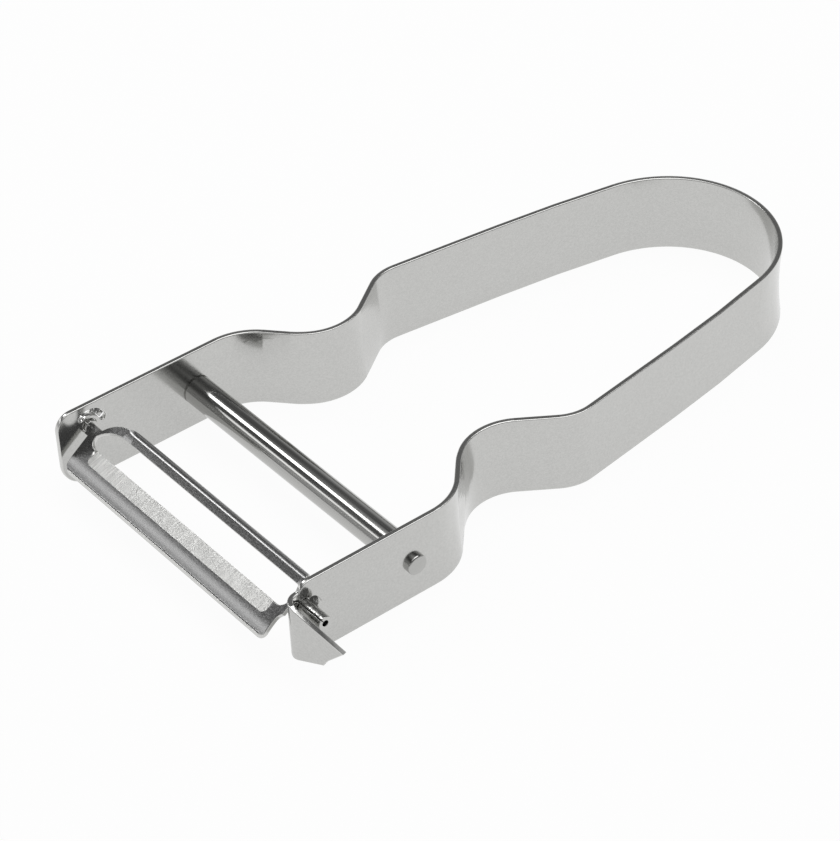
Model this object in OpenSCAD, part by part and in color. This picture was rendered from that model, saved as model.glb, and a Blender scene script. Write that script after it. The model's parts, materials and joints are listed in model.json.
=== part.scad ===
// Vegetable peeler of the strap kind: one steel strip bent into a handle loop, a swivelling
// slotted blade across its open end, and a riveted crossbar behind the blade.
// Millimetres, +Z up. The peeler lies on the lower edge of its strip, as it does on a table.
// The origin is the middle of the loop's end, on that edge; the blade is at -Y, and the arm
// that is folded into the eye remover is at +X.

/* [Handle strip] */
// Height of the strip, which is its width before bending
strip_h = 14; // [13.5:0.1:15]
// Thickness of the strip
strip_t = 0.85; // [0.75:0.05:0.95]
// Amount by which bending makes the strip and the blade's sheet thinner
bend_thin = 0.01; // [0.006:0.002:0.02]
// Bend radius of the loop's end, at the middle of the strip
loop_r = 18; // [16:0.5:20]
// Amount by which each side stands wider at the bow than at the loop's end
bow_out = 2; // [1.5:0.1:3]
// Distance of the bow from the loop's round end
bow_l = 7.2; // [6:0.2:10]
// Share of the side from the loop to the bow that the bow's bend takes up
bow_share = 0.98; // [0.9:0.01:0.99]
// Amount by which each side stands wider at the hips than at the bow
hip_out = 4.5; // [3.5:0.1:5.5]
// Distance from the bow to the hips
hip_l = 33.4; // [28:0.2:40]
// Share of the side from the hips to the waist that the hips' bend takes up
hip_share = 0.18; // [0.1:0.01:0.3]
// Amount by which each side draws in from the hips to the waist
waist_in = 9.3; // [8:0.1:10.5]
// Distance from the hips to the waist
waist_l = 13.3; // [11:0.1:16]
// Share of the side from the waist to the shoulder that the waist's bend takes up
waist_share = 0.82; // [0.6:0.01:0.85]
// Amount by which each side stands wider at the shoulder than at the waist
shoulder_out = 5.2; // [4.5:0.1:6]
// Distance from the waist to the shoulder
shoulder_l = 6.5; // [5.5:0.1:7.5]
// Share of the same side that the shoulder's bend takes up
shoulder_share = 0.11; // [0.05:0.01:0.14]
// Distance from the shoulder to the arms' rear bends
arm_bend_l = 6.2; // [5.5:0.1:7]
// Share of the side from the shoulder to the arm that the arm's bend takes up
arm_share = 0.47; // [0.3:0.01:0.6]
// Clear distance between the two arms
arm_gap = 54; // [50:0.5:58]
// Length of the plain arm, from its rear bend to its front end
arm_l = 34.3; // [31:0.1:38]
// Radius of the plain arm's upper front corner
plain_top_r = 2.8; // [2:0.1:3.4]
// Radius of the plain arm's lower front corner
plain_bottom_r = 4.5; // [3:0.1:6]

/* [Eye remover] */
// Gap between the blade's pin and the inside of the fold
fold_gap = 1.5; // [1.35:0.05:1.8]
// Angle through which the strip is folded outwards
fold_angle = 108; // [103:1:109]
// Radius of the fold, at the middle of the strip
fold_r = 2.05; // [2:0.05:2.3]
// Depth by which the strip's upper edge drops before the fold
fold_drop = 1.4; // [1.3:0.1:2]
// Height by which the strip's lower edge rises before the fold
fold_rise = 2.7; // [2.5:0.1:3.5]
// Length along the arm over which its edges narrow before the fold
neck_in_l = 3.8; // [3.2:0.1:4.2]
// Radius of the curves in which the edges narrow
neck_r = 4.6; // [4.4:0.1:5.5]
// Length of the pointed wing past the fold
wing_l = 8.1; // [7.5:0.1:9]
// Height of the wing's point, as a share of the wing's height at the fold
wing_tip_share = 0.52; // [0.48:0.01:0.6]
// Length of the lower cutting edge, up to its tooth
tooth_l = 4.4; // [3.5:0.1:5]
// Height by which the lower cutting edge rises up to its tooth
tooth_rise = 1.3; // [1:0.1:1.6]
// Height of the step behind the tooth
step_h = 1.2; // [0.8:0.1:1.4]
// Length of the step behind the tooth
step_l = 0.8; // [0.5:0.1:1]

/* [Bearings] */
// Distance of the swivel axis behind the plain arm's front end
axis_in = 5.8; // [5.2:0.1:6.5]
// Depth of the swivel axis below the strip's upper edge
axis_drop = 4.1; // [3.8:0.1:5]
// Running clearance round the pins, on the radius
pin_clear = 0.08; // [0.04:0.01:0.1]
// Wall of strip between a bearing hole and the stop slot
stop_web = 0.65; // [0.5:0.01:0.7]
// Width of the curved stop slot
stop_w = 1.15; // [1.1:0.05:1.25]
// Angle of the slot's rear end above the horizontal
stop_rear_angle = 15; // [10:1:16]
// Angle of the slot's front end above the horizontal
stop_front_angle = 125; // [124:1:130]

/* [Blade] */
// Thickness of the blade's sheet
blade_t = 0.8; // [0.7:0.05:0.85]
// Room between the arms and the yokes, on the average
yoke_play = 1.57; // [1.4:0.01:1.9]
// Amount by which the yokes and the slot lie nearer to the folded arm
blade_shift = 0.5; // [0.3:0.1:0.6]
// Amount by which the front bar is longer than the blade over its yokes
bar_over = 0.34; // [0.2:0.02:0.6]
// Amount by which the front bar lies back towards the plain arm
bar_shift = 0.78; // [0.6:0.02:0.9]
// Tilt of the blade at rest, front side down
blade_tilt = 36; // [34:1:38]
// Distance of the cutting edge in front of the swivel axis
edge_w = 2.3; // [2.1:0.1:2.5]
// Width of the ground bevel
bevel_w = 2.45; // [2:0.05:2.6]
// Thickness left at the cutting edge
edge_t = 0.12; // [0.1:0.01:0.15]
// Length of the front bar past each end of the ground bevel
bevel_in = 2.7; // [2.5:0.1:3.2]
// Flat width left between the bevel and the front bar's bend
bevel_margin = 0.1; // [0.05:0.05:0.2]
// Corner radius at the ends of the ground bevel
bevel_corner_r = 1.2; // [0.6:0.1:1.6]
// Width of the front bar's bowed part, up to its crease
bowed_w = 2.1; // [1.8:0.1:2.6]
// Bend radius of the front bar, at the middle of the sheet
front_bend_r = 9.5; // [8:0.5:11]
// Bend radius of the lip, at the middle of the sheet
lip_r = 0.6; // [0.5:0.05:0.7]
// Angle of the lip, turned back up from the front bar
lip_angle = 48; // [40:1:52]
// Straight part of the lip
lip_w = 0.25; // [0.2:0.05:0.4]
// Corner radius at the ends of the lip
lip_corner_r = 1.2; // [0.8:0.1:1.5]
// Distance of the slot's rear side behind the swivel axis
slot_back_w = 1.75; // [1.6:0.05:1.9]
// Distance from the slot's ends over which its rear corners are rounded
slot_rear_l = 4.95; // [4.6:0.05:5.2]
// Radius of the slot's rear corners, as a share of the slot's width
slot_rear_share = 1.58; // [1.5:0.01:1.7]
// Radius of the slot's front corners, as a share of the slot's width
slot_front_share = 0.37; // [0.3:0.01:0.38]
// Flat width of the rear bar, before its flange
rear_flat_w = 0.6; // [0.5:0.05:0.7]
// Bend radius of the rear flange, at the middle of the sheet
flange_r = 0.7; // [0.6:0.05:0.9]
// Angle of the rear flange below the blade
flange_angle = 75; // [50:1:85]
// Straight part of the rear flange
flange_w = 0.6; // [0.4:0.1:1.2]
// Length of the yokes' rear side past each end of the flange
flange_in = 5; // [4.5:0.1:6]
// Width of the yokes at the slot's ends
yoke_w = 0.65; // [0.6:0.05:0.9]
// Distance by which the yokes reach behind the rear bar's flat part
yoke_back_w = 1.1; // [0.9:0.05:1.2]
// Corner radius of the yokes at the rear
yoke_r = 6; // [5.5:0.1:6.5]
// Distance of the folded arm's yoke's front corner in front of the swivel axis
shoulder_w = 2.9; // [2.6:0.1:3.1]
// Radius of the curve from that corner to the front bar's end
flare_r = 2; // [1.6:0.1:2.4]
// Width of each neck in front of the swivel axis
neck_front_w = 1.45; // [1.25:0.05:1.6]
// Width of each neck behind the swivel axis
neck_back_w = 0.6; // [0.5:0.05:0.8]

/* [Pins and stop ears] */
// Radius of the rolled pins
pin_r = 1.15; // [1.05:0.05:1.2]
// Radius of the bore left inside the rolled pins
pin_bore_r = 0.5; // [0.4:0.05:0.6]
// Width of the seam along the rolled pins
seam_w = 0.12; // [0.08:0.02:0.16]
// Length of the folded arm's pin outside its arm
pin_out_l = 5; // [4:0.1:5.5]
// Play between the outer ears and the arms
ear_play = 0.2; // [0.15:0.05:0.25]
// Width of the folded arm's ear along its pin
ear_w = 1.9; // [1.6:0.1:2.2]
// Reach of the folded arm's ear from the swivel axis
ear_r = 2.3; // [2.1:0.1:2.6]
// Width of the plain arm's ear along its pin
tab_ear_w = 1; // [0.8:0.05:1.2]
// Gap between the stop tab and each side of its slot
tab_clear = 0.1; // [0.08:0.01:0.12]
// Play between the necks of the blade and the folded arm
neck_play = 0.3; // [0.2:0.05:0.4]

/* [Crossbar] */
// Diameter of the crossbar
bar_d = 5; // [4:0.1:6]
// Distance of the crossbar's axis in front of the arms' rear bends
bar_in = 8.5; // [7:0.1:12]
// Height of the crossbar's axis above the lower edge
bar_z = 6.5; // [6:0.1:7.5]
// Diameter of the necks that pass through the arms
bar_neck_d = 2.6; // [2.2:0.1:2.9]
// Width by which the riveted heads cover the strip round their necks
head_rim = 0.4; // [0.3:0.05:0.6]
// Height of the riveted heads outside the arms
head_h = 1.05; // [0.8:0.05:1.4]
// Fit round the crossbar's necks, on the radius
bar_clear = 0.02; // [0.01:0.01:0.05]

/* [Hidden] */
$fn = 96;

// One overrun for every cut
cut = 1;

// Height by which the neck's curves pass the strip's edges, so that they meet them at a corner
neck_rise = 0.05;

// Amount by which the stop slot's round ends are narrower than the slot
end_step = 0.02;

// Faces and middle of the two arms, measured from the middle of the peeler
arm_in = arm_gap / 2;
arm_mid = arm_in + strip_t / 2;
arm_out = arm_in + strip_t;

// Corners of one side's middle line before they are rounded
bow = [loop_r + bow_out, -loop_r - bow_l];
hip = bow + [hip_out, -hip_l];
waist = hip - [waist_in, waist_l];
shoulder = waist + [shoulder_out, -shoulder_l];
rear_bend = [arm_mid, shoulder[1] - arm_bend_l];

// The side of the loop leaves its round end as a tangent, towards the bow
to_loop = [-bow[0], -bow[1] - loop_r];
tangent_l = sqrt(to_loop * to_loop - loop_r * loop_r);
loop_turn = atan2(to_loop[1], to_loop[0]) - asin(loop_r / norm(to_loop)) - 180;
loop_corner = [loop_r * tan(-loop_turn / 2), 0];

// The swivel axis is set out from the plain arm's end, the fold from the pin, and the crossbar
// from the arms' rear bends
plain_end = rear_bend[1] - arm_l;
axis_y = plain_end + axis_in;
fold_y = axis_y - pin_r - fold_gap - strip_t;
bar_y = rear_bend[1] - bar_in;
hinge = [0, axis_y, strip_h - axis_drop];

// The middle line from the loop's end to the fold's front face, and the turns at its corners
corners = [[0, 0], loop_corner, bow, hip, waist, shoulder, rear_bend, [arm_mid, fold_y]];
turns = [for (i = [1 : len(corners) - 2]) turn_at(i)];
last_bend = len(turns) - 1;

// How far each bend reaches along the sides that it joins, and its radius
shoulder_side = norm(shoulder - waist);
setbacks = [
    loop_corner[0],
    bow_share * tangent_l,
    hip_share * norm(waist - hip),
    waist_share * shoulder_side,
    shoulder_share * shoulder_side,
    arm_share * norm(rear_bend - shoulder)
];
radii = [for (i = [0 : last_bend]) setbacks[i] / tan(abs(turns[i]) / 2)];

// Straight runs after each bend, the last of them measured to the fold's front face
runs = [
    for (i = [0 : last_bend])
        norm(corners[i + 2] - corners[i + 1]) - setbacks[i]
            - (i < last_bend ? setbacks[i + 1] : 0)
];
plain_run = runs[last_bend] + fold_y - plain_end + cut;
folded_run = runs[last_bend] - fold_r - strip_t / 2;

// The fold's centre, and the wing past it
fold_c = [arm_mid + fold_r, fold_y + strip_t / 2 + fold_r];
fold_top_z = strip_h - fold_drop;
wing_dir = fold_angle - 90;
wing_start = fold_c - fold_r * [cos(fold_angle), sin(fold_angle)];
wing_tip_z = fold_rise + wing_tip_share * (fold_top_z - fold_rise);
tooth_z = fold_rise + tooth_rise;

// The bearing holes and the stop slot round one of them
hole_r = pin_r + pin_clear;
stop_in_r = hole_r + stop_web;

// Lengths of the blade's parts along the swivel axis
yoke_l = arm_gap - 2 * yoke_play;
blade_l = yoke_l + bar_over;
bevel_l = blade_l - 2 * bevel_in;
slot_l = yoke_l - 2 * yoke_w;
flange_l = yoke_l - 2 * flange_in;

// The blade's faces, and the turn of its front bar that brings the crease to its place
blade_top = blade_t / 2;
bevel_end = edge_w + bevel_w;
bend_w = bevel_end + bevel_margin;
slot_w = edge_w + slot_back_w;
rear_bar_w = slot_back_w + rear_flat_w;
rear_w = rear_bar_w + yoke_back_w;
front_turn = asin(bowed_w / front_bend_r);
lip_slope = lip_angle - front_turn;
lip_reach = lip_r * (sin(front_turn) + sin(lip_slope)) + lip_w * cos(lip_slope);
front_w = bend_w + bowed_w + lip_reach;

// Positions along the swivel axis, in the blade's own frame
near_neck = arm_in - neck_play - blade_shift;
far_neck = arm_in - neck_play + blade_shift;
near_ear = arm_out + ear_play - blade_shift;
far_ear = arm_out + ear_play + blade_shift;
near_end = arm_out + pin_out_l - blade_shift;
far_end = far_ear + tab_ear_w + ear_play;

function direction(i) =
    let (d = corners[i + 1] - corners[i])
    atan2(d[1], d[0]);
function turn_at(i) =
    let (a = direction(i) - direction(i - 1))
    a - 360 * round(a / 360);

// A straight length of bent strip or sheet, from the origin along +X; what follows goes on
// from its end
module straight(t, l) {
    if (l > 0)
        translate([0, -t / 2])
            square([l, t]);
    translate([max(l, 0), 0])
        children();
}

// A bend to the left, or to the right where the angle is negative; what follows goes on from
// its end. The ring that it is part of starts on the side that is cut away
module bend(t, r, angle) {
    side = sign(angle);
    reach = r + t;
    half_t = (t - bend_thin) / 2;
    translate([0, side * r]) {
        intersection() {
            rotate(180)
                difference() {
                    circle(r + half_t);
                    circle(r - half_t);
                }
            translate([0, -reach])
                square([reach, 2 * reach]);
            rotate(angle)
                translate([-reach, -reach])
                    square([reach, 2 * reach]);
        }
        rotate(angle)
            translate([0, -side * r])
                children();
    }
}

// One side of the handle seen from above, from the loop's end to an arm's last straight run
module handle_side(last_run, i = 0) {
    bend(strip_t, radii[i], turns[i])
        if (i < last_bend)
            straight(strip_t, runs[i])
                handle_side(last_run, i + 1)
                    children();
        else
            straight(strip_t, last_run)
                children();
}

// A shape drawn in Y and Z, made a prism along X from x0 to x1
module along_x(x0, x1) {
    translate([x0, 0, 0])
        rotate([90, 0, 90])
            linear_extrude(x1 - x0)
                children();
}

// What is cut away to round a corner at the origin, where the part lies towards +X and +Y
module corner_waste(r) {
    difference() {
        translate([-cut, -cut])
            square(r + cut);
        translate([r, r])
            circle(r);
    }
}

// What is cut off the folded arm: its edges narrow in two curves, up to and round the fold
module neck_waste() {
    front = fold_y - cut;
    rear = fold_c[1] + neck_in_l;
    along_x(arm_in - cut, wing_start[0] + strip_t) {
        difference() {
            translate([front, fold_top_z])
                square([rear - front, strip_h + cut - fold_top_z]);
            translate([rear, strip_h - neck_r + neck_rise])
                circle(neck_r);
        }
        difference() {
            translate([front, -cut])
                square([rear - front, fold_rise + cut]);
            translate([rear, neck_r - neck_rise])
                circle(neck_r);
        }
    }
}

// What is cut off the wing, above and below its point; the cuts begin behind the fold's end,
// where the neck's cuts are already deeper
module wing_waste() {
    back = 2 * strip_t;
    over = wing_l + 2 * cut;
    top_slope = (fold_top_z - wing_tip_z) / (wing_l + strip_t);
    low_slope = tooth_rise / (tooth_l + strip_t);
    translate([wing_start[0], wing_start[1], 0])
        rotate([90, 0, wing_dir])
            translate([0, 0, -strip_t])
                linear_extrude(2 * strip_t)
                    polygon([
                        [-back, strip_h + cut],
                        [-back, fold_top_z + top_slope * strip_t],
                        [wing_l, wing_tip_z],
                        [tooth_l + step_l, tooth_z + step_h],
                        [tooth_l, tooth_z],
                        [-back, fold_rise - low_slope * strip_t],
                        [-back, -cut],
                        [over, -cut],
                        [over, strip_h + cut]
                    ]);
}

// What is cut off the plain arm's front end, which is at the origin
module plain_end_waste() {
    translate([-2 * cut, -cut])
        square([2 * cut, strip_h + 2 * cut]);
    corner_waste(plain_bottom_r);
    translate([0, strip_h])
        mirror([0, 1])
            corner_waste(plain_top_r);
}

// The curved slot in which the stop tab of the blade travels, with rounded ends
module stop_slot() {
    over = stop_in_r + stop_w + cut;
    difference() {
        circle(stop_in_r + stop_w);
        circle(stop_in_r);
        rotate(stop_rear_angle)
            translate([-over, -2 * over])
                square([2 * over, 2 * over]);
        rotate(stop_front_angle)
            translate([-over, 0])
                square([2 * over, over]);
    }
    for (a = [stop_rear_angle, stop_front_angle])
        rotate(a)
            translate([stop_in_r + stop_w / 2, 0])
                circle(stop_w / 2 - end_step);
}

// The strip: two sides, a loop, two bearings, two rivet holes and the folded eye remover
module strap_handle() {
    color("silver")
        difference() {
            linear_extrude(strip_h) {
                mirror([1, 0])
                    handle_side(plain_run);
                handle_side(folded_run)
                    bend(strip_t, fold_r, fold_angle)
                        straight(strip_t, wing_l + cut);
            }
            neck_waste();
            wing_waste();
            // The rounded front end, the bearing and the stop slot of the plain arm
            translate([0, plain_end, 0])
                along_x(-arm_out - cut, -arm_in + cut)
                    plain_end_waste();
            translate(hinge)
                along_x(-arm_out - cut, -arm_in + cut) {
                    circle(hole_r);
                    stop_slot();
                }
            // The bearing of the folded arm, and the two rivet holes
            translate(hinge)
                along_x(arm_in - cut, arm_out + cut)
                    circle(hole_r);
            translate([0, bar_y, bar_z])
                along_x(-arm_out - cut, arm_out + cut)
                    circle(bar_neck_d / 2 + bar_clear);
        }
}

// The blade's flat part seen along its normal, with the front bar at -Y: bar, yokes and necks,
// less the slot
module blade_plan() {
    difference() {
        union() {
            translate([-blade_l / 2 - bar_shift, -bend_w])
                square([blade_l, bend_w - neck_front_w]);
            translate([-far_neck, -neck_front_w])
                square([far_neck + near_neck, neck_front_w + neck_back_w]);
            yokes();
            flare();
        }
        slot_plan();
    }
}

// The two yokes and the flat part of the rear bar, with rounded rear corners
module yokes() {
    difference() {
        translate([-yoke_l / 2, -shoulder_w])
            square([yoke_l, shoulder_w + rear_w]);
        translate([-flange_l / 2, rear_bar_w])
            square([flange_l, rear_w]);
        for (side = [0, 1])
            mirror([side, 0])
                translate([-yoke_l / 2, rear_w])
                    mirror([0, 1])
                        corner_waste(yoke_r);
    }
}

// The hollow curve from the front bar's end to the folded arm's yoke
module flare() {
    bar_end = blade_l / 2 - bar_shift;
    out = yoke_l / 2 - bar_end;
    down = sqrt(flare_r * flare_r - (flare_r - out) * (flare_r - out));
    difference() {
        translate([0, -shoulder_w - down])
            square([yoke_l / 2, shoulder_w + down - edge_w]);
        translate([bar_end + flare_r, -shoulder_w - down])
            circle(flare_r);
    }
}

// The slot seen along the blade's normal
module slot_plan() {
    rear_r = slot_rear_share * slot_w;
    difference() {
        translate([-slot_l / 2, -edge_w])
            square([slot_l, edge_w + slot_back_w]);
        for (side = [0, 1])
            mirror([side, 0]) {
                translate([-slot_l / 2, -edge_w])
                    corner_waste(slot_front_share * slot_w);
                translate([slot_rear_l - slot_l / 2 - rear_r, slot_back_w])
                    mirror([0, 1])
                        corner_waste(rear_r);
            }
    }
}

// The front bar's bowed part and its lip, with rounded ends
module front_bar() {
    deep = front_w;
    difference() {
        translate([-bar_shift, -bend_w, 0])
            along_x(-blade_l / 2, blade_l / 2)
                mirror([1, 0])
                    bend(blade_t, front_bend_r, -front_turn)
                        bend(blade_t, lip_r, lip_angle)
                            straight(blade_t, lip_w);
        for (side = [0, 1])
            translate([-bar_shift, 0, 0])
                mirror([side, 0, 0])
                    translate([-blade_l / 2, -front_w, -deep])
                        linear_extrude(2 * deep)
                            corner_waste(lip_corner_r);
    }
}

// The pressed sheet: its flat part, the front bar, and the flange behind the rear bar
module blade_sheet() {
    translate([0, 0, -blade_top])
        linear_extrude(blade_t)
            blade_plan();
    front_bar();
    translate([0, rear_bar_w, 0])
        along_x(-flange_l / 2, flange_l / 2)
            bend(blade_t, flange_r, -flange_angle)
                straight(blade_t, flange_w);
}

// What is ground off the front bar to make its cutting edge, for a bar in the middle
module bevel_waste() {
    slope = (blade_t - edge_t) / bevel_w;
    intersection() {
        along_x(-bevel_l / 2, bevel_l / 2)
            polygon([
                [-edge_w + cut, edge_t - blade_top - cut * slope],
                [-bevel_end - cut, blade_top + cut * slope],
                [-edge_w + cut, blade_top + cut * slope]
            ]);
        translate([0, 0, -cut - blade_t])
            linear_extrude(2 * (cut + blade_t))
                difference() {
                    translate([-bevel_l / 2, -bevel_end - cut])
                        square([bevel_l, bevel_w + 2 * cut]);
                    for (side = [0, 1])
                        mirror([side, 0])
                            translate([-bevel_l / 2, -bevel_end])
                                corner_waste(bevel_corner_r);
                }
    }
}

// A rolled pin along X, with its bore and the seam where the sheet's edge comes round
module pin(x0, x1) {
    along_x(x0, x1)
        difference() {
            circle(pin_r);
            circle(pin_bore_r);
            translate([-seam_w / 2, 0])
                square([seam_w, pin_r + cut]);
        }
}

// The plain arm's ear, in the blade's plane and pointing to the rear, between two radii
module tab_ear(x0, x1, r0, r1) {
    along_x(x0, x1)
        translate([r0, -blade_top])
            square([r1 - r0, blade_t]);
}

// The folded arm's ear: a round lug in the blade's plane that keeps the pin in its bearing
module round_ear(r0) {
    round_r = ear_w / 2;
    translate([near_ear + round_r, 0, -blade_top])
        linear_extrude(blade_t) {
            translate([-round_r, r0])
                square([ear_w, ear_r - round_r - r0]);
            translate([0, ear_r - round_r])
                circle(round_r);
        }
}

// The blade in its own frame: swivel axis along X through the origin, sheet in the XY plane
module flat_blade() {
    pin_mid_r = (pin_r + pin_bore_r) / 2;
    tab_r = stop_in_r + stop_w - tab_clear;
    difference() {
        blade_sheet();
        translate([-bar_shift, 0, 0])
            bevel_waste();
    }
    pin(near_neck - ear_play, near_end);
    pin(-far_end, -far_neck + ear_play);
    round_ear(pin_mid_r);
    // The plain arm's ear, with the tab that reaches back through the stop slot
    tab_ear(-far_ear - tab_ear_w, -far_ear, pin_mid_r, tab_r);
    tab_ear(-far_ear - tab_ear_w, -far_ear + ear_play + strip_t, stop_in_r + tab_clear, tab_r);
}

module swivel_blade() {
    color("gray")
        translate(hinge + [blade_shift, 0, 0])
            rotate([blade_tilt, 0, 0])
                flat_blade();
}

// The bar between the arms: shoulders inside them, necks through them, riveted heads outside
module crossbar() {
    head_end = arm_out + head_h;
    head_r = bar_neck_d / 2 + head_rim;
    color("gainsboro")
        translate([0, bar_y, bar_z]) {
            along_x(-arm_in, arm_in)
                circle(bar_d / 2);
            along_x(-head_end, head_end)
                circle(bar_neck_d / 2);
            along_x(-head_end, -arm_out)
                circle(head_r);
            along_x(arm_out, head_end)
                circle(head_r);
        }
}

strap_handle();
swivel_blade();
crossbar();
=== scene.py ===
"""A steel strap peeler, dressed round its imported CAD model.

Each sheet part starts as the flat blank that the real one is stamped from, with its holes and
rounded edges, and Geometry Nodes then bend it along its path. The crossbar and the rolled pins
are turned. Sizes are those of the CAD source, apart from those of the upper neck, the near yoke,
the rear bar and its flange, and the bevel's place, which were matched to the photograph later.
The strip's curl over its width is here alone. Everything is in metres, +Z up.
"""

import json
from math import acos, asin, atan2, ceil, copysign, cos, inf, pi, radians, sin, sqrt, tan, tau

import bmesh
import bpy
from bpy.props import FloatProperty, FloatVectorProperty, PointerProperty
from mathutils import Matrix, Vector


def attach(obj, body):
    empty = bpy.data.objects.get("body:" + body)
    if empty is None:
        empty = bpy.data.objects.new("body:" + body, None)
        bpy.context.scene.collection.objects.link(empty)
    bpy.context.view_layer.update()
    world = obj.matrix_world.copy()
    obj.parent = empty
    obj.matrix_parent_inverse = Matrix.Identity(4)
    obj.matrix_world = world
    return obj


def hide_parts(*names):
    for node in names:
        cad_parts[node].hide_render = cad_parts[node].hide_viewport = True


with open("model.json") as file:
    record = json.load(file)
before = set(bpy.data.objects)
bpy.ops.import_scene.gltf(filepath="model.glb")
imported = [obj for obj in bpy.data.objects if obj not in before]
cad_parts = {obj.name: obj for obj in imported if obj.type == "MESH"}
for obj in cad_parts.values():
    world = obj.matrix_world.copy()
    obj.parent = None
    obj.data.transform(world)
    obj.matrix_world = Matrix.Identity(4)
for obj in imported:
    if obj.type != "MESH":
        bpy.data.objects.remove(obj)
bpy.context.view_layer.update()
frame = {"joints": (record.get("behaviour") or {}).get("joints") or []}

bl_info = {
    "name": "Strap Peeler",
    "version": (1, 0, 0),
    "blender": (4, 5, 0),
    "location": "View3D > Sidebar > Peeler",
    "description": "Builds a steel strap peeler with a swivelling blade, its finishes and a stage",
    "category": "Object",
}

MM = 0.001

# The largest turn between two neighbouring points of a bend, and of a round outline
BEND_STEP = radians(2.5)
ARC_STEP = radians(7.5)

# Rows of faces over the strip's width
WIDTH_ROWS = 14

# Turned rings in a rivet head's face, counted as ridges and grooves
HEAD_TURNS = 8

# Points closer than this are one point
MERGE = 0.001 * MM

# Least Z of a unit normal: of a blank's flat faces, and of its ground bevel
FLAT_NORMAL = 0.99
BEVEL_NORMAL = 0.9

# Faces that turn less than the first against each other lie in one plane. Those of a turned
# piece that turn more than the second meet in a sharp edge
PLANE_TURN = radians(0.075)
SHARP_TURN = radians(35)

# The strongest weight of the faces' areas in the shading
AREA_WEIGHT = 100

# How far the grinding wheel's shape runs past the cutting edge
WHEEL_OVERRUN = 1.5 * MM

# Cuts across each end of the flange, where its bend runs out
RUN_OUT_STEPS = 8

# Segments round the turned pieces, and rings in each rounded edge of a sheet
TURNED_SEGMENTS = 96
EDGE_RINGS = 2

# The usual lowest and highest value of the noise texture, which patterns are stretched from
NOISE_RANGE = (0.3, 0.7)

# Brightness of the studio by height: sine of the elevation, and grey value
SKY = [(0.0, 0.5), (0.3, 0.45), (0.52, 0.12), (0.72, 0.1), (0.86, 0.8), (1.0, 1.0)]

# Each light's size and place in metres, and the point that they all face
LIGHTS = {
    "key": ((0.5, 0.5), (0.05, 0.1, 0.6)),
    "fill": ((0.5, 0.09), (-0.39, -0.49, 0.27)),
    "edge": ((0.14, 0.14), (-0.42, -0.18, 0.46)),
}
AIM = (0.0, -0.06, 0.0)

# Half the floor's width. Its own light, as a share: how much the camera sees, and how much the
# steel mirrors at a distance near the peeler and at one further out
FLOOR_REACH = 1.5
FLOOR_SEEN = 0.95
# The mirrored share is painted light: the floor glows brighter in the steel's reflections near the
# peeler and fades further out
FLOOR_MIRRORED = [(0.08, 0.9), (0.3, 0.2)]

# The camera of the photograph, found by fitting the peeler's outline to it
CAMERA_PLACE = (0.31062, -0.30196, 0.31427)
CAMERA_RIGHT = (0.62354, 0.78074, -0.04050)
CAMERA_UP = (-0.46872, 0.41480, 0.77991)

# Width of the camera's sensor, and the nearest distance that it sees
SENSOR_W = 36 * MM
CLIP_START = 10 * MM

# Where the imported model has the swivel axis
HINGE = Vector(frame["joints"][0]["pos_m"])


def length(name, description, millimetres):
    """A size that a user may change, given in millimetres and kept in metres."""
    return FloatProperty(
        name=name,
        description=description,
        default=millimetres * MM,
        min=0.0,
        precision=5,
        unit="LENGTH",
    )


def angle(name, description, degrees):
    """An angle that a user may change, given in degrees and kept in radians."""
    return FloatProperty(
        name=name, description=description, default=radians(degrees), unit="ROTATION"
    )


def share(name, description, value):
    """A part of another size, from 0 to 1."""
    return FloatProperty(
        name=name, description=description, default=value, min=0.0, max=1.0, subtype="FACTOR"
    )


def power(name, description, watts):
    """The power of a light that a user may change, given in watts."""
    return FloatProperty(name=name, description=description, default=watts, unit="POWER")


def colour(name, description, srgb_hex):
    """A colour that a user may change, given as sRGB hex and kept linear."""
    return FloatVectorProperty(
        name=name,
        description=description,
        default=linear(srgb_hex),
        min=0.0,
        max=1.0,
        size=4,
        subtype="COLOR",
    )


def linear(srgb_hex):
    """The linear colour of an sRGB hex value."""
    parts = [int(srgb_hex[i : i + 2], 16) / 255 for i in (1, 3, 5)]
    return [p / 12.92 if p <= 0.04045 else ((p + 0.055) / 1.055) ** 2.4 for p in parts] + [1.0]


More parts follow.
